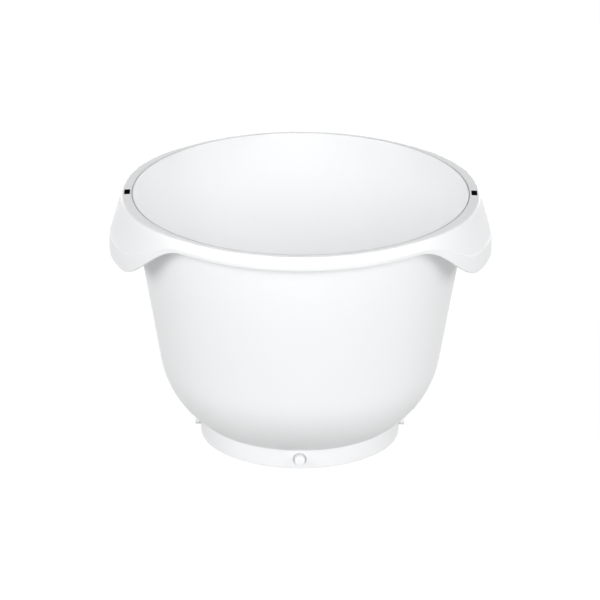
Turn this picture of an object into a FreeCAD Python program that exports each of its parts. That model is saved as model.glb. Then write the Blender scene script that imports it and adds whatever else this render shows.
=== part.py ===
import FreeCAD, Part
import math
import os

# A stand mixer bowl, moulded in one piece: a tapered bowl with a rounded bottom corner, a foot ring
# with round locking bosses, and a flat rim whose skirt swells and drops into two hollow handles.
# Lengths are millimetres and angles are degrees. The origin is on the bowl's axis, in the plane that
# the foot stands on. X runs from handle to handle, and Z is up.

# Bowl
bowl_height = 166.2
mouth_radius = 107.9
wall = 2.1
side_slope = 9.7
corner_radius = 63.5
floor_clearance = 1.2
mouth_edge_chamfer = 0.3
seam_inset = 0.5
seam_width = 0.6
seam_depth = 0.8

# Foot ring
foot_radius = 64.8
foot_wall = 2.4
foot_edge_chamfer = 0.4

# Locking bosses round the foot, each in a shallow ring-shaped relief
boss_count = 4
boss_radius = 3.3
boss_reach = 3.6
boss_height = 6.7
boss_edge_chamfer = 0.3
relief_width = 1.2
relief_depth = 0.7

# Rim and skirt, away from the handles; the rim's width is measured from the mouth
rim_width = 4.8
rim_wall = 1.8
skirt_wall = 1.8
skirt_flare = 1.0
crease_drop = 6.1
lip_drop = 9.3
rim_edge_chamfer = 0.8
lip_chamfer = 0.4

# Handles: the rim's edge stands out on a wide arc, and the skirt below it on rounder arcs
handle_arc_radius = 131.5
handle_edge_reach = 2.75
handle_edge_chamfer = 1.5
lobe_radius = 80.0
lobe_blend = 5.8
crease_reach = 8.5
lip_reach = 9.8
handle_crease_drop = 25.8
handle_lip_drop = 38.8

# Angles from a handle's middle where it begins, and where it has its full form
edge_reach_start = 54.0
edge_reach_full = 16.0
edge_bevel_start = 52.0
edge_bevel_full = 30.0
skirt_drop_start = 48.0
skirt_drop_full = 18.7

# Slots in the rim, one in the middle of each handle, with a pocket moulded under each
slot_width = 3.8
slot_length = 8.5
pocket_depth = 7.0
pocket_wall = 1.2

# Points that each closed line round the bowl passes through
ring_points = 60
difference_step = 0.01
level_tolerance = 0.001


def smooth_step(position, start, full):
    """Rise smoothly from 0 at start to 1 at full."""
    share = min(max((position - start) / (full - start), 0.0), 1.0)
    return share * share * (3.0 - 2.0 * share)


def smooth_maximum(first, second, blend):
    """The larger of two lengths, with a rounded change from one to the other."""
    return (first + second + math.hypot(first - second, blend)) / 2.0


def handle_angle(azimuth):
    """Angle from the nearer handle's middle."""
    return abs((azimuth + 90.0) % 180.0 - 90.0)


def rim_radius():
    """Plan radius of the rim's outer edge, away from the handles."""
    return mouth_radius + rim_width


def arc_distance(arc_radius, reach, angle):
    """Distance from the axis to an arc that crosses the handle's middle at rim radius plus reach."""
    centre = rim_radius() + reach - arc_radius
    turn = math.radians(angle)
    across = centre * math.sin(turn)
    if abs(across) >= arc_radius:
        return 0.0
    return centre * math.cos(turn) + math.sqrt(arc_radius ** 2 - across ** 2)


def outer_radius_at_rim():
    """Outside radius of the bowl's wall, carried up to the rim's height."""
    return mouth_radius + wall / math.cos(math.radians(side_slope))


def rim_edge_outline(azimuth):
    """Plan radius of the rim's outer edge."""
    angle = handle_angle(azimuth)
    share = smooth_step(angle, edge_reach_start, edge_reach_full)
    arc = arc_distance(handle_arc_radius, handle_edge_reach, angle)
    return rim_radius() + share * (arc - rim_radius())


def skirt_outline(azimuth, reach):
    """Plan radius of the skirt, which stands out by reach at the handles."""
    lobe = arc_distance(lobe_radius, reach, handle_angle(azimuth))
    return smooth_maximum(rim_edge_outline(azimuth) + skirt_flare, lobe, lobe_blend)


def crease_outline(azimuth):
    return skirt_outline(azimuth, crease_reach)


def lip_outline(azimuth):
    return skirt_outline(azimuth, lip_reach)


def rim_height(azimuth):
    return bowl_height


def rim_underside_height(azimuth):
    return bowl_height - rim_wall


def skirt_height(azimuth, plain_drop, handle_drop):
    """Height of a line that runs level round the skirt and drops at each handle."""
    share = smooth_step(handle_angle(azimuth), skirt_drop_start, skirt_drop_full)
    return bowl_height - plain_drop - share * (handle_drop - plain_drop)


def crease_height(azimuth):
    return skirt_height(azimuth, crease_drop, handle_crease_drop)


def lip_height(azimuth):
    return skirt_height(azimuth, lip_drop, handle_lip_drop)


def bevel_size(azimuth):
    """Size of the bevel on the rim's outer edge, which is wider at the handles."""
    share = smooth_step(handle_angle(azimuth), edge_bevel_start, edge_bevel_full)
    return rim_edge_chamfer + share * (handle_edge_chamfer - rim_edge_chamfer)


def bevel_top_outline(azimuth):
    return rim_edge_outline(azimuth) - bevel_size(azimuth)


def bevel_side_outline(azimuth):
    """Where the rim's bevel meets the skirt."""
    share = bevel_size(azimuth) / (bowl_height - crease_height(azimuth))
    return rim_edge_outline(azimuth) + share * (crease_outline(azimuth) - rim_edge_outline(azimuth))


def bevel_side_height(azimuth):
    return bowl_height - bevel_size(azimuth)


def lip_side_outline(azimuth):
    """Where the lip's bevel leaves the skirt."""
    share = lip_chamfer / (crease_height(azimuth) - lip_height(azimuth))
    return lip_outline(azimuth) - share * (lip_outline(azimuth) - crease_outline(azimuth))


def lip_side_height(azimuth):
    return lip_height(azimuth) + lip_chamfer


def ring_point(outline, height, azimuth, inset):
    """A point of a closed line, moved inwards by inset at right angles to its plan outline."""
    turn = math.radians(azimuth)
    radial = FreeCAD.Vector(math.cos(turn), math.sin(turn), 0)
    tangential = FreeCAD.Vector(-math.sin(turn), math.cos(turn), 0)
    radius = outline(azimuth)
    rise = outline(azimuth + difference_step) - outline(azimuth - difference_step)
    slope = rise / math.radians(2.0 * difference_step)
    outward = (radial * radius - tangential * slope).normalize()
    return radial * radius - outward * inset + FreeCAD.Vector(0, 0, height(azimuth))


def ring(outline, height, inset=0.0):
    """A smooth closed line round the bowl."""
    points = []
    for number in range(ring_points):
        points.append(ring_point(outline, height, 360.0 * number / ring_points, inset))
    steps = [float(number) for number in range(ring_points + 1)]
    curve = Part.BSplineCurve()
    curve.interpolate(Points=points, PeriodicFlag=True, Parameters=steps)
    return curve.toShape()


def level_circle(radius, height):
    return Part.makeCircle(radius, FreeCAD.Vector(0, 0, height))


def bowl_form(inset, top):
    """A filled form of the bowl, inset from its outside, up to the height top."""
    slope = math.radians(side_slope)
    centre_z = floor_clearance + corner_radius
    side_at_centre = outer_radius_at_rim() - (bowl_height - centre_z) * math.tan(slope)
    centre_r = side_at_centre - corner_radius / math.cos(slope)
    radius = corner_radius - inset
    middle = (math.pi / 2.0 + slope) / 2.0
    side_r = centre_r + radius * math.cos(slope)
    side_z = centre_z - radius * math.sin(slope)
    axis_bottom = FreeCAD.Vector(0, 0, centre_z - radius)
    floor_edge = FreeCAD.Vector(centre_r, 0, centre_z - radius)
    corner = FreeCAD.Vector(centre_r + radius * math.cos(middle), 0, centre_z - radius * math.sin(middle))
    side_bottom = FreeCAD.Vector(side_r, 0, side_z)
    side_top = FreeCAD.Vector(side_r + (top - side_z) * math.tan(slope), 0, top)
    axis_top = FreeCAD.Vector(0, 0, top)
    edges = [
        Part.LineSegment(axis_bottom, floor_edge).toShape(),
        Part.Arc(floor_edge, corner, side_bottom).toShape(),
        Part.LineSegment(side_bottom, side_top).toShape(),
        Part.LineSegment(side_top, axis_top).toShape(),
        Part.LineSegment(axis_top, axis_bottom).toShape(),
    ]
    return Part.Face(Part.Wire(edges)).revolve(FreeCAD.Vector(0, 0, 0), FreeCAD.Vector(0, 0, 1), 360)


def band_face(first, second):
    """The face between two closed lines: flat if both lie level at one height, and ruled if not."""
    if first.BoundBox.united(second.BoundBox).ZLength < level_tolerance:
        return Part.makeFace([Part.Wire(first), Part.Wire(second)], "Part::FaceMakerBullseye")
    return Part.makeRuledSurface(first, second)


def rim_and_skirt():
    """The rim and its hanging skirt, as a closed band with a root inside the bowl's mouth."""
    root_radius = mouth_radius - rim_wall
    wall_middle = (mouth_radius + outer_radius_at_rim()) / 2.0
    lines = [
        level_circle(root_radius, bowl_height),
        ring(bevel_top_outline, rim_height),
        ring(bevel_side_outline, bevel_side_height),
        ring(crease_outline, crease_height),
        ring(lip_side_outline, lip_side_height),
        ring(lip_outline, lip_height, lip_chamfer),
        ring(lip_outline, lip_height, skirt_wall),
        ring(crease_outline, crease_height, skirt_wall),
        ring(rim_edge_outline, rim_underside_height, skirt_wall),
        level_circle(wall_middle, bowl_height - rim_wall),
        level_circle(root_radius, bowl_height - rim_wall),
    ]
    faces = []
    for number, line in enumerate(lines):
        faces.append(band_face(lines[number - 1], line))
    shell = Part.Shell(faces)
    shell.sewShape()
    solid = Part.Solid(shell)
    if solid.Volume < 0:
        solid.reverse()
    return solid


def foot_ring():
    """The ring under the bowl, run up into the bowl's rounded corner."""
    height = floor_clearance + corner_radius
    outside = Part.makeCylinder(foot_radius, height)
    inside = Part.makeCylinder(foot_radius - foot_wall, height)
    return outside.cut(inside)


def radial_cylinder(radius, start, end, azimuth):
    """A round bar at boss height that points away from the axis."""
    turn = math.radians(azimuth)
    outward = FreeCAD.Vector(math.cos(turn), math.sin(turn), 0)
    origin = outward * start + FreeCAD.Vector(0, 0, boss_height)
    return Part.makeCylinder(radius, end - start, origin, outward)


def boss(azimuth):
    """A locking boss, rooted in the foot's wall, with a bevelled end."""
    end = foot_radius + boss_reach
    bar = radial_cylinder(boss_radius, foot_radius - foot_wall / 2.0, end, azimuth)
    end_edges = []
    for edge in bar.Edges:
        middle = edge.CenterOfMass
        if math.hypot(middle.x, middle.y) > end - boss_edge_chamfer / 2.0:
            end_edges.append(edge)
    return bar.makeChamfer(boss_edge_chamfer, end_edges)


def boss_relief(azimuth):
    """What is cut from the foot's outside round a boss."""
    start = foot_radius - relief_depth
    return radial_cylinder(boss_radius + relief_width, start, foot_radius + boss_reach, azimuth)


def slot_middle():
    """Distance from the axis to a slot's middle: the slot lies just outside the bowl's wall."""
    return outer_radius_at_rim() + slot_width / 2.0


def handle_slot():
    """What is cut for the slot on the +X side."""
    corner = FreeCAD.Vector(slot_middle() - slot_width / 2.0, -slot_length / 2.0, bowl_height - pocket_depth)
    return Part.makeBox(slot_width, slot_length, pocket_depth * 2.0, corner)


def slot_pocket():
    """The block under the rim that holds the slot, rooted in the bowl's wall."""
    bottom = bowl_height - pocket_depth - pocket_wall
    wall_outside = outer_radius_at_rim() - (bowl_height - bottom) * math.tan(math.radians(side_slope))
    near = wall_outside - wall / 2.0
    far = slot_middle() + slot_width / 2.0 + pocket_wall
    length = slot_length + 2.0 * pocket_wall
    corner = FreeCAD.Vector(near, -length / 2.0, bottom)
    return Part.makeBox(far - near, length, bowl_height - rim_wall / 2.0 - bottom, corner)


def on_other_side(shape):
    """The same shape on the other handle."""
    turned = shape.copy()
    turned.rotate(FreeCAD.Vector(0, 0, 0), FreeCAD.Vector(0, 0, 1), 180)
    return turned


def mouth_bevel():
    """What is cut from the mouth's inner edge."""
    bottom_radius = mouth_radius - mouth_edge_chamfer
    top_radius = mouth_radius + 2.0 * mouth_edge_chamfer
    origin = FreeCAD.Vector(0, 0, bowl_height - 2.0 * mouth_edge_chamfer)
    return Part.makeCone(bottom_radius, top_radius, 3.0 * mouth_edge_chamfer, origin)


def mouth_seam():
    """What is cut for the fine seam that runs round the mouth on the rim's flat top."""
    origin = FreeCAD.Vector(0, 0, bowl_height - seam_depth)
    outside = Part.makeCylinder(mouth_radius + seam_inset + seam_width, seam_depth * 2.0, origin)
    inside = Part.makeCylinder(mouth_radius + seam_inset, seam_depth * 2.0, origin)
    return outside.cut(inside)


def bevel_foot(solid):
    """Bevel the two edges that the bowl stands on."""
    edges = [edge for edge in solid.Edges if edge.BoundBox.ZMax < foot_edge_chamfer / 2.0]
    return solid.makeChamfer(foot_edge_chamfer, edges)


def mixing_bowl():
    foot = foot_ring()
    for number in range(boss_count):
        azimuth = 360.0 * number / boss_count
        foot = foot.cut(boss_relief(azimuth)).fuse(boss(azimuth))
    body = bowl_form(0.0, bowl_height - rim_wall / 2.0).fuse(foot).fuse(rim_and_skirt())
    body = body.fuse(slot_pocket()).fuse(on_other_side(slot_pocket()))
    body = body.cut(bowl_form(wall, bowl_height + wall)).cut(mouth_bevel()).cut(mouth_seam())
    body = body.cut(handle_slot()).cut(on_other_side(handle_slot())).removeSplitter()
    return bevel_foot(body)


os.makedirs("parts", exist_ok=True)
bowl = mixing_bowl()
bowl.exportStep("parts/mixing_bowl.step")
print("solids", len(bowl.Solids), "valid", bowl.isValid(), "volume", round(bowl.Volume))
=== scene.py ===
import math

import bpy
from mathutils import Matrix, Vector


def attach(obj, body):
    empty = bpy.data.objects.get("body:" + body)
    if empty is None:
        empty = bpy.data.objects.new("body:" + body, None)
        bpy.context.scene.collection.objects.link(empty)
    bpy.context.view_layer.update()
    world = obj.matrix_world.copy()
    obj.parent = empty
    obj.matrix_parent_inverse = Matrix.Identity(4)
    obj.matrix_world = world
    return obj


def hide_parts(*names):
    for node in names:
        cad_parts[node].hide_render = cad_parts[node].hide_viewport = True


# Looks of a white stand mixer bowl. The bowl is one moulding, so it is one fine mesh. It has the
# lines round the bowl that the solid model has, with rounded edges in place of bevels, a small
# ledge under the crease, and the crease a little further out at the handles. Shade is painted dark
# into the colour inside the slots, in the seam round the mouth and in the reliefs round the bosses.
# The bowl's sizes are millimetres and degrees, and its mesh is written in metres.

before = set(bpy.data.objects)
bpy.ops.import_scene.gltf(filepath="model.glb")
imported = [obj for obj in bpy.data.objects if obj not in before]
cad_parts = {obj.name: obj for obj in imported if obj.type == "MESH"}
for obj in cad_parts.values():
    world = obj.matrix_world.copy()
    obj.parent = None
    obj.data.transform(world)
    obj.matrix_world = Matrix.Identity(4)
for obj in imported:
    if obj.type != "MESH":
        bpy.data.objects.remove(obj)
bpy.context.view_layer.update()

MILLIMETRE = 0.001

# Bowl
BOWL_HEIGHT = 166.2
MOUTH_RADIUS = 107.9
WALL = 2.1
SIDE_SLOPE = math.radians(9.7)
CORNER_RADIUS = 63.5
FLOOR_CLEARANCE = 1.2
MOUTH_EDGE_ROUND = 0.45
SEAM_INSET = 0.5
SEAM_WIDTH = 0.6
SEAM_DEPTH = 0.8

# Foot ring and its locking bosses
FOOT_RADIUS = 64.8
FOOT_WALL = 2.4
FOOT_EDGE_ROUND = 0.5
FOOT_JOIN_ROUND = 0.35
BOSS_COUNT = 4
BOSS_RADIUS = 3.3
BOSS_REACH = 3.6
BOSS_HEIGHT = 6.7
BOSS_EDGE_ROUND = 0.4
RELIEF_WIDTH = 1.2
RELIEF_DEPTH = 0.7

# Rim and skirt
RIM_RADIUS = 112.7
RIM_WALL = 1.8
RIM_CROWN = 0.3
SKIRT_WALL = 1.8
SKIRT_FLARE = 1.0
CREASE_DROP = 6.1
LIP_DROP = 9.3
RIM_EDGE_ROUND = 1.2
LEDGE = 0.25
HANDLE_LEDGE = 0.6
LEDGE_ROUND_SHARE = 0.7
LIP_UNDERCUT = 0.6
LIP_ROUND = 0.6

# Handles
HANDLE_ARC_RADIUS = 131.5
HANDLE_EDGE_REACH = 2.75
HANDLE_EDGE_ROUND = 2.2
LOBE_RADIUS = 80.0
LOBE_BLEND = 5.8
CREASE_REACH = 9.7
LIP_REACH = 9.75
HANDLE_CREASE_DROP = 25.8
HANDLE_LIP_DROP = 38.8
EDGE_REACH_START = 54.0
EDGE_REACH_FULL = 16.0
EDGE_ROUND_START = 52.0
EDGE_ROUND_FULL = 30.0
SKIRT_DROP_START = 48.0
SKIRT_DROP_FULL = 18.7
SLOT_WIDTH = 3.8
SLOT_LENGTH = 8.5
SLOT_CORNER = 0.5
POCKET_DEPTH = 7.0
POCKET_WALL = 1.2

# Steps of the mesh, round the bowl and along its section
AZIMUTH_STEPS = 480
FLOOR_STEPS = 4
INNER_CORNER_STEPS = 22
INNER_WALL_STEPS = 20
MOUTH_ROUND_STEPS = 5
RIM_STEPS = 6
EDGE_ROUND_STEPS = 7
SKIRT_STEPS = 10
LIP_BAND_STEPS = 5
LOW_SKIRT_INSIDE_STEPS = 3
HIGH_SKIRT_INSIDE_STEPS = 4
UNDER_RIM_STEPS = 3
OUTER_WALL_STEPS = 22
OUTER_CORNER_STEPS = 18
FOOT_OUTSIDE_STEPS = 12
FOOT_INSIDE_STEPS = 6
UNDER_CORNER_STEPS = 12
SMALL_ROUND_STEPS = 3
FINE_ROUND_STEPS = 4
SLOT_CORNER_STEPS = 4
BOSS_SIDES = 48
RELIEF_SIDES = 56
SHARP_ANGLE = math.radians(32)
DIFFERENCE_STEP = 0.01

# Painted shade: how far the faces inside the slots, the seam and the reliefs are painted dark, from 0 to 1,
# and the margin they are found with
MARK_MARGIN = 0.02
SLOT_SHADE = 1.0
SEAM_SHADE = 0.35
RELIEF_SHADE = 0.3

# White plastic
PLASTIC_IOR = 1.49
DEEPER_TINT = (0.880, 0.886, 0.893)
PALER_TINT = (0.898, 0.902, 0.908)
# Near-black colour of the painted shade in the slots, the seam and the reliefs
PAINTED_SHADE_COLOUR = (0.006, 0.006, 0.007, 1.0)
LOWEST_ROUGHNESS = 0.3
HIGHEST_ROUGHNESS = 0.38

# Floor and background
FLOOR_WIDTH = 12000.0
FLOOR_COLOUR = (0.25, 0.25, 0.25, 1.0)
FLOOR_GLOW = 0.85
WHITE = (1.0, 1.0, 1.0, 1.0)
WORLD_COLOUR = (0.97, 0.985, 1.0, 1.0)

# Sockets of the mix node for colours and of the map range node for vectors
MIX_FACTOR = 0
MIX_FIRST = 6
MIX_SECOND = 7
MIX_RESULT = 2
RANGE_VECTOR = 6
RANGE_LOW = 9
RANGE_HIGH = 10
RANGE_RESULT = 1

# Camera, as the photograph was taken, in metres
CAMERA_DISTANCE = 3.5
CAMERA_ELEVATION = math.radians(22.35)
CAMERA_TARGET = (-0.0002, 0.0, 0.091)
CAMERA_ROLL = math.radians(0.2)
FIELD_WIDTH = 0.39
SENSOR_WIDTH = 36.0
FARTHEST_SEEN = 50.0

# Soft lamps: name, azimuth from the camera's side to the right, elevation, distance, width and height
# in metres, and watts. The panels stand below the rim, so they light the outside only.
LAMP_TARGET = (0.0, 0.0, 0.09)
LAMPS = (
    ("front_panel", 3.5, -0.7, 0.8, 0.9, 0.14, 3.0),
    ("back_panel", 180.0, -0.7, 0.8, 0.9, 0.14, 2.6),
    ("front_lamp", 0.0, 25.0, 4.2, 2.4, 2.4, 25.0),
    ("top_lamp", 0.0, 65.0, 4.2, 2.4, 2.4, 8.0),
    ("right_lamp", 68.0, 22.0, 4.2, 2.4, 2.4, 80.0),
    ("left_lamp", -68.0, 22.0, 4.2, 2.4, 2.4, 90.0),
    ("upper_right_lamp", 90.0, 55.0, 4.2, 2.4, 2.4, 21.0),
    ("upper_left_lamp", -90.0, 55.0, 4.2, 2.4, 2.4, 13.0),
    ("back_right_strip", 140.0, 5.0, 4.2, 3.0, 0.5, 16.0),
    ("back_left_strip", -140.0, 5.0, 4.2, 3.0, 0.5, 10.0),
)
WORLD_LEVEL = 0.12

# Narrow lamp from the front on the inside of the back wall, in metres, degrees and watts
INSIDE_AIM = (-0.006, 0.1, 0.104)
INSIDE_ELEVATION = 38.0
INSIDE_DISTANCE = 3.0
INSIDE_BEAM = math.radians(4.0)
INSIDE_SOFTNESS = 0.05
INSIDE_POWER = 155.0


# Outlines and heights of the lines round the bowl

def smooth_step(position, start, full):
    """Rise smoothly from 0 at start to 1 at full."""
    share = min(max((position - start) / (full - start), 0.0), 1.0)
    return share * share * (3.0 - 2.0 * share)


def smooth_maximum(first, second, blend):
    """The larger of two lengths, with a rounded change from one to the other."""
    return (first + second + math.hypot(first - second, blend)) / 2.0


def handle_angle(azimuth):
    """Angle from the nearer handle's middle."""
    return abs((azimuth + 90.0) % 180.0 - 90.0)


def arc_distance(arc_radius, reach, angle):
    """Distance from the axis to an arc that crosses the handle's middle at rim radius plus reach."""
    centre = RIM_RADIUS + reach - arc_radius
    turn = math.radians(angle)
    across = centre * math.sin(turn)
    if abs(across) >= arc_radius:
        return 0.0
    return centre * math.cos(turn) + math.sqrt(arc_radius ** 2 - across ** 2)


def rim_edge_outline(azimuth):
    angle = handle_angle(azimuth)
    share = smooth_step(angle, EDGE_REACH_START, EDGE_REACH_FULL)
    arc = arc_distance(HANDLE_ARC_RADIUS, HANDLE_EDGE_REACH, angle)
    return RIM_RADIUS + share * (arc - RIM_RADIUS)


def skirt_outline(azimuth, reach):
    """Plan radius of the skirt, which stands out by reach at the handles."""
    lobe = arc_distance(LOBE_RADIUS, reach, handle_angle(azimuth))
    return smooth_maximum(rim_edge_outline(azimuth) + SKIRT_FLARE, lobe, LOBE_BLEND)


def crease_outline(azimuth):
    return skirt_outline(azimuth, CREASE_REACH)


def lip_outline(azimuth):
    """Plan radius of the lip, which is drawn in a little away from the handles."""
    return skirt_outline(azimuth, LIP_REACH) - LIP_UNDERCUT * (1.0 - skirt_drop_share(azimuth))


def edge_round_size(azimuth):
    """Radius of the rim's outer edge, which is larger at the handles."""
    share = smooth_step(handle_angle(azimuth), EDGE_ROUND_START, EDGE_ROUND_FULL)
    return RIM_EDGE_ROUND + share * (HANDLE_EDGE_ROUND - RIM_EDGE_ROUND)


def skirt_drop_share(azimuth):
    """How far the skirt has dropped into the handle, from 0 to 1."""
    return smooth_step(handle_angle(azimuth), SKIRT_DROP_START, SKIRT_DROP_FULL)


def skirt_height(azimuth, plain_drop, handle_drop):
    return BOWL_HEIGHT - plain_drop - skirt_drop_share(azimuth) * (handle_drop - plain_drop)


def inset_radius(outline, azimuth, inset):
    """Radius of an outline moved inwards by inset, at right angles to itself."""
    radius = outline(azimuth)
    rise = outline(azimuth + DIFFERENCE_STEP) - outline(azimuth - DIFFERENCE_STEP)
    slope = rise / math.radians(2.0 * DIFFERENCE_STEP) / radius
    return radius - inset * math.hypot(1.0, slope)


# Section of the bowl at one azimuth, as points (radius, height)

def straight(start, end, steps):
    """Points from start to end, without the last."""
    return [start.lerp(end, number / steps) for number in range(steps)]


def rounded(before, corner, after, radius, steps):
    """An arc of that radius in a corner between two straight runs."""
    back = (before - corner).normalized()
    ahead = (after - corner).normalized()
    half = back.angle(ahead) / 2.0
    centre = corner + (back + ahead).normalized() * (radius / math.sin(half))
    start = corner + back * (radius / math.tan(half)) - centre
    end = corner + ahead * (radius / math.tan(half)) - centre
    sweep = start.angle(end)
    points = []
    for number in range(steps + 1):
        share = number / steps
        near = math.sin((1.0 - share) * sweep) / math.sin(sweep)
        far = math.sin(share * sweep) / math.sin(sweep)
        points.append(centre + start * near + end * far)
    return points


def bottom_arc(inset, start, end, steps):
    """Points of the bowl's rounded bottom corner; angles are from level, downwards."""
    centre_z = FLOOR_CLEARANCE + CORNER_RADIUS
    outer_rim = MOUTH_RADIUS + WALL / math.cos(SIDE_SLOPE)
    side = outer_rim - (BOWL_HEIGHT - centre_z) * math.tan(SIDE_SLOPE)
    centre_r = side - CORNER_RADIUS / math.cos(SIDE_SLOPE)
    radius = CORNER_RADIUS - inset
    points = []
    for number in range(steps + 1):
        turn = start + (end - start) * number / steps
        points.append(Vector((centre_r + radius * math.cos(turn), centre_z - radius * math.sin(turn))))
    return points


def corner_angle(inset, plan_radius):
    """Angle on the bottom corner at which it has that plan radius."""
    axis_side = bottom_arc(inset, math.pi / 2.0, math.pi / 2.0, 1)[0].x
    return math.acos((plan_radius - axis_side) / (CORNER_RADIUS - inset))


def outer_wall_radius(height):
    return MOUTH_RADIUS + WALL / math.cos(SIDE_SLOPE) - (BOWL_HEIGHT - height) * math.tan(SIDE_SLOPE)


def section(azimuth):
    """The bowl's whole outline at one azimuth, from the floor's middle over the rim to the underside."""
    down = math.pi / 2.0
    floor_top = Vector((0.0, FLOOR_CLEARANCE + WALL))
    inner_corner = bottom_arc(WALL, down, SIDE_SLOPE, INNER_CORNER_STEPS)
    mouth = Vector((MOUTH_RADIUS, BOWL_HEIGHT))
    seam_inside = Vector((MOUTH_RADIUS + SEAM_INSET, BOWL_HEIGHT))
    seam_outside = Vector((MOUTH_RADIUS + SEAM_INSET + SEAM_WIDTH, BOWL_HEIGHT))
    seam_down = Vector((0.0, -SEAM_DEPTH))
    edge = Vector((rim_edge_outline(azimuth), BOWL_HEIGHT - RIM_CROWN))
    crease_z = skirt_height(azimuth, CREASE_DROP, HANDLE_CREASE_DROP)
    lip_z = skirt_height(azimuth, LIP_DROP, HANDLE_LIP_DROP)
    ledge = LEDGE + skirt_drop_share(azimuth) * (HANDLE_LEDGE - LEDGE)
    ledge_top = Vector((crease_outline(azimuth) - ledge, crease_z))
    crease = Vector((crease_outline(azimuth), crease_z - ledge))
    lip = Vector((lip_outline(azimuth), lip_z))
    lip_inside = Vector((inset_radius(lip_outline, azimuth, SKIRT_WALL), lip_z))
    crease_inside = Vector((inset_radius(crease_outline, azimuth, SKIRT_WALL), crease_z))
    under_rim = BOWL_HEIGHT - RIM_WALL
    edge_inside = Vector((inset_radius(rim_edge_outline, azimuth, SKIRT_WALL), under_rim))
    wall_top = Vector((outer_wall_radius(under_rim), under_rim))
    join_angle = corner_angle(0.0, FOOT_RADIUS)
    outer_corner = bottom_arc(0.0, SIDE_SLOPE, join_angle, OUTER_CORNER_STEPS)
    join = outer_corner.pop()
    foot_outside = Vector((FOOT_RADIUS, 0.0))
    foot_inside = Vector((FOOT_RADIUS - FOOT_WALL, 0.0))
    under_corner = bottom_arc(0.0, corner_angle(0.0, foot_inside.x), down, UNDER_CORNER_STEPS)
    floor_under = Vector((0.0, FLOOR_CLEARANCE))

    mouth_round = rounded(inner_corner[-1], mouth, seam_inside, MOUTH_EDGE_ROUND, MOUTH_ROUND_STEPS)
    edge_round = rounded(seam_outside, edge, ledge_top, edge_round_size(azimuth), EDGE_ROUND_STEPS)
    crease_round = rounded(ledge_top, crease, lip, ledge * LEDGE_ROUND_SHARE, SMALL_ROUND_STEPS)
    lip_round = rounded(crease, lip, lip_inside, LIP_ROUND, FINE_ROUND_STEPS)
    lip_inner_round = rounded(lip, lip_inside, crease_inside, LIP_ROUND / 2.0, SMALL_ROUND_STEPS)
    join_round = rounded(outer_corner[-1], join, foot_outside, FOOT_JOIN_ROUND, SMALL_ROUND_STEPS)
    foot_round = rounded(join, foot_outside, foot_inside, FOOT_EDGE_ROUND, FINE_ROUND_STEPS)
    foot_inner_round = rounded(foot_outside, foot_inside, under_corner[0], FOOT_EDGE_ROUND, FINE_ROUND_STEPS)

    points = straight(floor_top, inner_corner[0], FLOOR_STEPS)
    points += inner_corner[:-1]
    points += straight(inner_corner[-1], mouth_round[0], INNER_WALL_STEPS)
    points += mouth_round
    points += [seam_inside, seam_inside + seam_down, seam_outside + seam_down]
    points += straight(seam_outside, edge_round[0], RIM_STEPS)
    points += edge_round[:-1]
    points += straight(edge_round[-1], ledge_top, SKIRT_STEPS)
    points.append(ledge_top)
    points += crease_round[:-1]
    points += straight(crease_round[-1], lip_round[0], LIP_BAND_STEPS)
    points += lip_round
    points += lip_inner_round[:-1]
    points += straight(lip_inner_round[-1], crease_inside, LOW_SKIRT_INSIDE_STEPS)
    points += straight(crease_inside, edge_inside, HIGH_SKIRT_INSIDE_STEPS)
    points += straight(edge_inside, wall_top, UNDER_RIM_STEPS)
    points += straight(wall_top, outer_corner[0], OUTER_WALL_STEPS)
    points += outer_corner
    points += join_round[:-1]
    points += straight(join_round[-1], foot_round[0], FOOT_OUTSIDE_STEPS)
    points += foot_round
    points += foot_inner_round[:-1]
    points += straight(foot_inner_round[-1], under_corner[0], FOOT_INSIDE_STEPS)
    points += under_corner[:-1]
    points += straight(under_corner[-1], floor_under, FLOOR_STEPS)
    points.append(floor_under)
    return points


# Meshes

def new_object(name, vertices, faces):
    """A mesh object in metres, from points in millimetres."""
    mesh = bpy.data.meshes.new(name)
    mesh.from_pydata([tuple(Vector(point) * MILLIMETRE) for point in vertices], [], faces)
    mesh.validate()
    made = bpy.data.objects.new(name, mesh)
    bpy.context.scene.collection.objects.link(made)
    return made


def bowl_shell():
    """The bowl without slots, reliefs or bosses: one closed mesh of rows round the axis."""
    sections = [section(360.0 * step / AZIMUTH_STEPS) for step in range(AZIMUTH_STEPS)]
    rows = len(sections[0])
    top_pole = 0
    bottom_pole = 1
    vertices = [(0.0, 0.0, sections[0][0].y), (0.0, 0.0, sections[0][-1].y)]
    for step, points in enumerate(sections):
        turn = 2.0 * math.pi * step / AZIMUTH_STEPS
        for point in points[1:-1]:
            vertices.append((point.x * math.cos(turn), point.x * math.sin(turn), point.y))
    ring_rows = rows - 2
    faces = []
    for step in range(AZIMUTH_STEPS):
        here = 2 + step * ring_rows
        there = 2 + (step + 1) % AZIMUTH_STEPS * ring_rows
        faces.append((top_pole, here, there))
        for row in range(ring_rows - 1):
            faces.append((here + row, here + row + 1, there + row + 1, there + row))
        faces.append((here + ring_rows - 1, bottom_pole, there + ring_rows - 1))
    return new_object("bowl_shell", vertices, faces)


def turned_bar(profile, azimuth, sides):
    """Points and faces of a round bar that points away from the axis at boss height.

    The profile is a list of (distance, radius) along the bar.
    """
    turn = math.radians(azimuth)
    outward = Vector((math.cos(turn), math.sin(turn), 0.0))
    across = Vector((-math.sin(turn), math.cos(turn), 0.0))
    up = Vector((0.0, 0.0, 1.0))
    vertices = []
    faces = []
    for distance, radius in profile:
        middle = outward * distance + up * BOSS_HEIGHT
        for side in range(sides):
            angle = 2.0 * math.pi * side / sides
            vertices.append(middle + across * (radius * math.cos(angle)) + up * (radius * math.sin(angle)))
    for row in range(len(profile) - 1):
        for side in range(sides):
            after = (side + 1) % sides
            low = row * sides
            high = low + sides
            faces.append((low + side, low + after, high + after, high + side))
    faces.append(tuple(reversed(range(sides))))
    last = (len(profile) - 1) * sides
    faces.append(tuple(range(last, last + sides)))
    return vertices, faces


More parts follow.
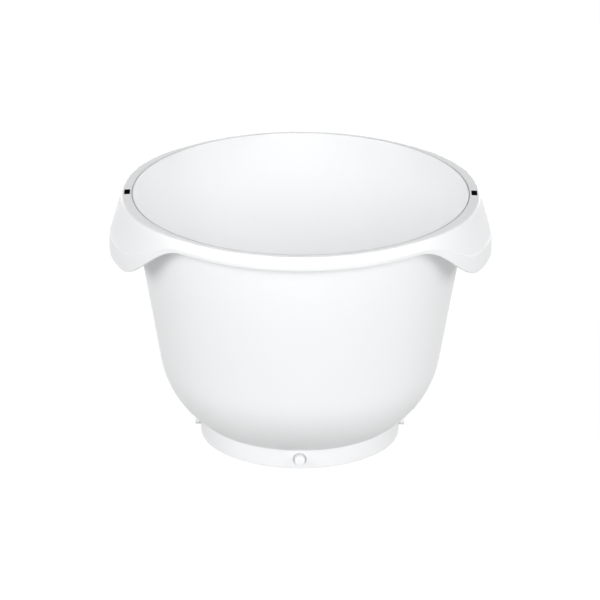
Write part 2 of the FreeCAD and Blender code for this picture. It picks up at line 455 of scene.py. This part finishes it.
def joined(name, parts):
    """One object from several lists of points and faces."""
    vertices = []
    faces = []
    for part_vertices, part_faces in parts:
        first = len(vertices)
        vertices += part_vertices
        faces += [tuple(first + corner for corner in face) for face in part_faces]
    return new_object(name, vertices, faces)


def boss_azimuths():
    return [360.0 * number / BOSS_COUNT for number in range(BOSS_COUNT)]


def bosses():
    """The four locking bosses, rooted in the foot's wall, with rounded ends."""
    end = FOOT_RADIUS + BOSS_REACH
    root = Vector((FOOT_RADIUS - FOOT_WALL / 2.0, BOSS_RADIUS))
    rim = Vector((end, BOSS_RADIUS))
    middle = Vector((end, 0.0))
    profile = [root] + rounded(root, rim, middle, BOSS_EDGE_ROUND, FINE_ROUND_STEPS)
    outline = [tuple(point) for point in profile]
    parts = [turned_bar(outline, azimuth, BOSS_SIDES) for azimuth in boss_azimuths()]
    return joined("bosses", parts)


def prism(low_outline, high_outline, bottom, top):
    """Points and faces of an upright bar with a foot outline and a top outline."""
    count = len(low_outline)
    vertices = [(x, y, bottom) for x, y in low_outline] + [(x, y, top) for x, y in high_outline]
    faces = [tuple(reversed(range(count))), tuple(range(count, 2 * count))]
    for number in range(count):
        after = (number + 1) % count
        faces.append((number, after, count + after, count + number))
    return vertices, faces


def slot_middle():
    return outer_wall_radius(BOWL_HEIGHT) + SLOT_WIDTH / 2.0


def slot_form(side):
    """The upright bar that is cut from the rim for a slot, with rounded corners."""
    half_width = SLOT_WIDTH / 2.0 - SLOT_CORNER
    half_length = SLOT_LENGTH / 2.0 - SLOT_CORNER
    outline = []
    for quarter, (x, y) in enumerate(((1, 1), (-1, 1), (-1, -1), (1, -1))):
        for number in range(SLOT_CORNER_STEPS + 1):
            turn = math.pi / 2.0 * (quarter + number / SLOT_CORNER_STEPS)
            outline.append((
                side * slot_middle() + x * half_width + SLOT_CORNER * math.cos(turn),
                y * half_length + SLOT_CORNER * math.sin(turn),
            ))
    return prism(outline, outline, BOWL_HEIGHT - POCKET_DEPTH, BOWL_HEIGHT + POCKET_DEPTH)


def pocket_form(side):
    """The block under the rim that holds a slot, rooted in the bowl's wall."""
    bottom = BOWL_HEIGHT - POCKET_DEPTH - POCKET_WALL
    top = BOWL_HEIGHT - RIM_WALL / 2.0
    far = slot_middle() + SLOT_WIDTH / 2.0 + POCKET_WALL
    half = SLOT_LENGTH / 2.0 + POCKET_WALL
    outlines = []
    for height in (bottom, top):
        near = outer_wall_radius(height) - WALL / 2.0
        corners = ((near, -half), (far, -half), (far, half), (near, half))
        outlines.append([(side * x, side * y) for x, y in corners])
    return prism(outlines[0], outlines[1], bottom, top)


def cuts():
    """What is cut from the bowl: the slots, and the reliefs round the bosses."""
    start = FOOT_RADIUS - RELIEF_DEPTH
    end = FOOT_RADIUS + BOSS_REACH
    radius = BOSS_RADIUS + RELIEF_WIDTH
    outline = [(start, radius), (end, radius)]
    parts = [turned_bar(outline, azimuth, RELIEF_SIDES) for azimuth in boss_azimuths()]
    parts += [slot_form(1), slot_form(-1)]
    return joined("cuts", parts)


def apply_boolean(target, tool, operation):
    """Cut or join a tool into the target, and delete the tool."""
    change = target.modifiers.new(operation.lower(), "BOOLEAN")
    change.operation = operation
    change.solver = "EXACT"
    change.object = tool
    bpy.context.view_layer.objects.active = target
    bpy.ops.object.modifier_apply(modifier=change.name)
    bpy.data.objects.remove(tool)


def in_slot(x, y, z):
    across = abs(abs(x) - slot_middle()) < SLOT_WIDTH / 2.0 + MARK_MARGIN
    along = abs(y) < SLOT_LENGTH / 2.0 + MARK_MARGIN
    return across and along and z > BOWL_HEIGHT - POCKET_DEPTH - MARK_MARGIN


def in_seam(x, y, z):
    seam_middle = MOUTH_RADIUS + SEAM_INSET + SEAM_WIDTH / 2.0
    across = abs(math.hypot(x, y) - seam_middle) < SEAM_WIDTH / 2.0 + MARK_MARGIN
    return across and z > BOWL_HEIGHT - SEAM_DEPTH - MARK_MARGIN


def in_relief(x, y, z):
    for azimuth in boss_azimuths():
        turn = math.radians(azimuth)
        outward = x * math.cos(turn) + y * math.sin(turn)
        from_boss = math.hypot(y * math.cos(turn) - x * math.sin(turn), z - BOSS_HEIGHT)
        deep = abs(outward - FOOT_RADIUS) < RELIEF_DEPTH + MARK_MARGIN
        if deep and BOSS_RADIUS - MARK_MARGIN < from_boss < BOSS_RADIUS + RELIEF_WIDTH + MARK_MARGIN:
            return True
    return False


def paint_recess_shade(mesh):
    """Mark the faces inside the slots, the seam and the reliefs, where the material paints shade into its
    colour.
    """
    corner_shades = []
    for vertex in mesh.vertices:
        x, y, z = vertex.co / MILLIMETRE
        if in_slot(x, y, z):
            corner_shades.append(SLOT_SHADE)
        elif in_seam(x, y, z):
            corner_shades.append(SEAM_SHADE)
        elif in_relief(x, y, z):
            corner_shades.append(RELIEF_SHADE)
        else:
            corner_shades.append(0.0)
    # Painted shade: each face takes the lowest shade of its corners, which the material mixes into its
    # colour towards near black
    painted_shade = mesh.attributes.new("painted_shade", "FLOAT", "FACE")
    for face in mesh.polygons:
        painted_shade.data[face.index].value = min(corner_shades[corner] for corner in face.vertices)


def mixing_bowl():
    bowl = bowl_shell()
    apply_boolean(bowl, joined("pockets", [pocket_form(1), pocket_form(-1)]), "UNION")
    apply_boolean(bowl, cuts(), "DIFFERENCE")
    apply_boolean(bowl, bosses(), "UNION")
    bowl.name = "bowl"
    paint_recess_shade(bowl.data)
    bowl.data.shade_smooth()
    bowl.data.set_sharp_from_angle(angle=SHARP_ANGLE)
    return bowl


# Materials

def add_node(nodes, kind, **inputs):
    """A node with some of its inputs set; underscores in names stand for spaces."""
    node = nodes.new(kind)
    for name, value in inputs.items():
        node.inputs[name.replace("_", " ")].default_value = value
    return node


def white_plastic():
    """Satin white moulded plastic, with a faint uneven gloss, the fine grain of the mould, and shade painted
    near black into the colour inside the slots, the seam and the reliefs.
    """
    material = bpy.data.materials.new("white_plastic")
    material.use_nodes = True
    nodes = material.node_tree.nodes
    links = material.node_tree.links
    shader = nodes["Principled BSDF"]
    shader.inputs["IOR"].default_value = PLASTIC_IOR
    place = add_node(nodes, "ShaderNodeTexCoord")

    patches = add_node(nodes, "ShaderNodeTexNoise", Scale=9.0, Detail=3.0, Roughness=0.5)
    links.new(place.outputs["Object"], patches.inputs["Vector"])
    tint = add_node(nodes, "ShaderNodeMapRange")
    tint.data_type = "FLOAT_VECTOR"
    tint.inputs[RANGE_LOW].default_value = DEEPER_TINT
    tint.inputs[RANGE_HIGH].default_value = PALER_TINT
    links.new(patches.outputs["Fac"], tint.inputs[RANGE_VECTOR])
    # Painted shade: the marked faces in the slots, the seam and the reliefs are mixed towards near black
    painted_shade = nodes.new("ShaderNodeAttribute")
    painted_shade.attribute_name = "painted_shade"
    shade = nodes.new("ShaderNodeMix")
    shade.data_type = "RGBA"
    shade.inputs[MIX_SECOND].default_value = PAINTED_SHADE_COLOUR
    links.new(painted_shade.outputs["Fac"], shade.inputs[MIX_FACTOR])
    links.new(tint.outputs[RANGE_RESULT], shade.inputs[MIX_FIRST])
    links.new(shade.outputs[MIX_RESULT], shader.inputs["Base Color"])

    gloss = add_node(nodes, "ShaderNodeTexNoise", Scale=34.0, Detail=4.0, Roughness=0.55)
    links.new(place.outputs["Object"], gloss.inputs["Vector"])
    gloss_range = add_node(
        nodes, "ShaderNodeMapRange", To_Min=LOWEST_ROUGHNESS, To_Max=HIGHEST_ROUGHNESS
    )
    links.new(gloss.outputs["Fac"], gloss_range.inputs["Value"])
    links.new(gloss_range.outputs["Result"], shader.inputs["Roughness"])

    grain = add_node(nodes, "ShaderNodeTexNoise", Scale=1400.0, Detail=2.0, Roughness=0.5)
    links.new(place.outputs["Object"], grain.inputs["Vector"])
    grain_bump = add_node(nodes, "ShaderNodeBump", Strength=0.06, Distance=0.00008)
    links.new(grain.outputs["Fac"], grain_bump.inputs["Height"])
    waves = add_node(nodes, "ShaderNodeTexNoise", Scale=28.0, Detail=1.0, Roughness=0.4)
    links.new(place.outputs["Object"], waves.inputs["Vector"])
    wave_bump = add_node(nodes, "ShaderNodeBump", Strength=0.12, Distance=0.0004)
    links.new(waves.outputs["Fac"], wave_bump.inputs["Height"])
    links.new(grain_bump.outputs["Normal"], wave_bump.inputs["Normal"])
    links.new(wave_bump.outputs["Normal"], shader.inputs["Normal"])
    return material


def seen_directly(nodes, links):
    """1 for rays from the camera, mirrors and glass, and 0 for the light on surfaces."""
    path = add_node(nodes, "ShaderNodeLightPath")
    first = nodes.new("ShaderNodeMath")
    first.operation = "MAXIMUM"
    links.new(path.outputs["Is Camera Ray"], first.inputs[0])
    links.new(path.outputs["Is Glossy Ray"], first.inputs[1])
    second = nodes.new("ShaderNodeMath")
    second.operation = "MAXIMUM"
    links.new(first.outputs["Value"], second.inputs[0])
    links.new(path.outputs["Is Transmission Ray"], second.inputs[1])
    return second.outputs["Value"]


def floor_material():
    """A white floor that keeps the object's shadow and otherwise meets the white background."""
    material = bpy.data.materials.new("white_floor")
    material.use_nodes = True
    nodes = material.node_tree.nodes
    links = material.node_tree.links
    nodes.clear()
    diffuse = add_node(nodes, "ShaderNodeBsdfDiffuse", Color=FLOOR_COLOUR)
    glow = add_node(nodes, "ShaderNodeEmission", Color=WHITE)
    strength = nodes.new("ShaderNodeMath")
    strength.operation = "MULTIPLY"
    strength.inputs[1].default_value = FLOOR_GLOW
    links.new(seen_directly(nodes, links), strength.inputs[0])
    links.new(strength.outputs["Value"], glow.inputs["Strength"])
    both = nodes.new("ShaderNodeAddShader")
    links.new(diffuse.outputs["BSDF"], both.inputs[0])
    links.new(glow.outputs["Emission"], both.inputs[1])
    output = nodes.new("ShaderNodeOutputMaterial")
    links.new(both.outputs["Shader"], output.inputs["Surface"])
    return material


# Surroundings

def studio_floor():
    half = FLOOR_WIDTH / 2.0
    corners = [(-half, -half, 0), (half, -half, 0), (half, half, 0), (-half, half, 0)]
    floor = new_object("floor", corners, [(0, 1, 2, 3)])
    floor.data.materials.append(floor_material())


def studio_world():
    """White where it is seen, and a plain even light on surfaces."""
    world = bpy.data.worlds.new("studio")
    bpy.context.scene.world = world
    world.use_nodes = True
    nodes = world.node_tree.nodes
    links = world.node_tree.links
    nodes.clear()
    light = add_node(nodes, "ShaderNodeBackground", Color=WORLD_COLOUR, Strength=WORLD_LEVEL)
    backdrop = add_node(nodes, "ShaderNodeBackground", Color=WHITE, Strength=1.0)
    choice = nodes.new("ShaderNodeMixShader")
    links.new(seen_directly(nodes, links), choice.inputs["Fac"])
    links.new(light.outputs["Background"], choice.inputs[1])
    links.new(backdrop.outputs["Background"], choice.inputs[2])
    output = nodes.new("ShaderNodeOutputWorld")
    links.new(choice.outputs["Shader"], output.inputs["Surface"])


def direction(azimuth, elevation):
    """Unit vector towards an azimuth, from the camera's side to the right, and an elevation."""
    turn = math.radians(azimuth)
    rise = math.radians(elevation)
    level = math.cos(rise)
    return Vector((math.sin(turn) * level, -math.cos(turn) * level, math.sin(rise)))


def hang_lamp(data, aim, away, distance):
    lamp = bpy.data.objects.new(data.name, data)
    bpy.context.scene.collection.objects.link(lamp)
    lamp.location = Vector(aim) + away * distance
    lamp.rotation_euler = away.to_track_quat("Z", "Y").to_euler()


def soft_lamp(name, azimuth, elevation, distance, width, height, power):
    """A flat soft lamp that points at the bowl."""
    data = bpy.data.lights.new(name, "AREA")
    data.shape = "RECTANGLE"
    data.size = width
    data.size_y = height
    data.energy = power
    hang_lamp(data, LAMP_TARGET, direction(azimuth, elevation), distance)


def inside_lamp():
    """A narrow soft beam through the mouth, which brightens the middle of the back wall."""
    data = bpy.data.lights.new("inside_lamp", "SPOT")
    data.spot_size = INSIDE_BEAM
    data.spot_blend = 1.0
    data.shadow_soft_size = INSIDE_SOFTNESS
    data.energy = INSIDE_POWER
    hang_lamp(data, INSIDE_AIM, direction(0.0, INSIDE_ELEVATION), INSIDE_DISTANCE)


def photo_camera():
    data = bpy.data.cameras.new("camera")
    data.sensor_width = SENSOR_WIDTH
    data.lens = SENSOR_WIDTH * CAMERA_DISTANCE / FIELD_WIDTH
    data.clip_end = FARTHEST_SEEN
    camera = bpy.data.objects.new("camera", data)
    bpy.context.scene.collection.objects.link(camera)
    back = Vector((0.0, -math.cos(CAMERA_ELEVATION), math.sin(CAMERA_ELEVATION)))
    camera.location = Vector(CAMERA_TARGET) + back * CAMERA_DISTANCE
    aim = back.to_track_quat("Z", "Y").to_matrix().to_4x4()
    camera.matrix_world = Matrix.Translation(camera.location) @ aim @ Matrix.Rotation(CAMERA_ROLL, 4, "Z")
    bpy.context.scene.camera = camera


photo_camera()
studio_world()
studio_floor()
for lamp in LAMPS:
    soft_lamp(*lamp)
inside_lamp()

bowl = mixing_bowl()
bowl.data.materials.append(white_plastic())
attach(bowl, "root")
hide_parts("mixing_bowl")

bpy.context.scene.view_settings.view_transform = "Standard"
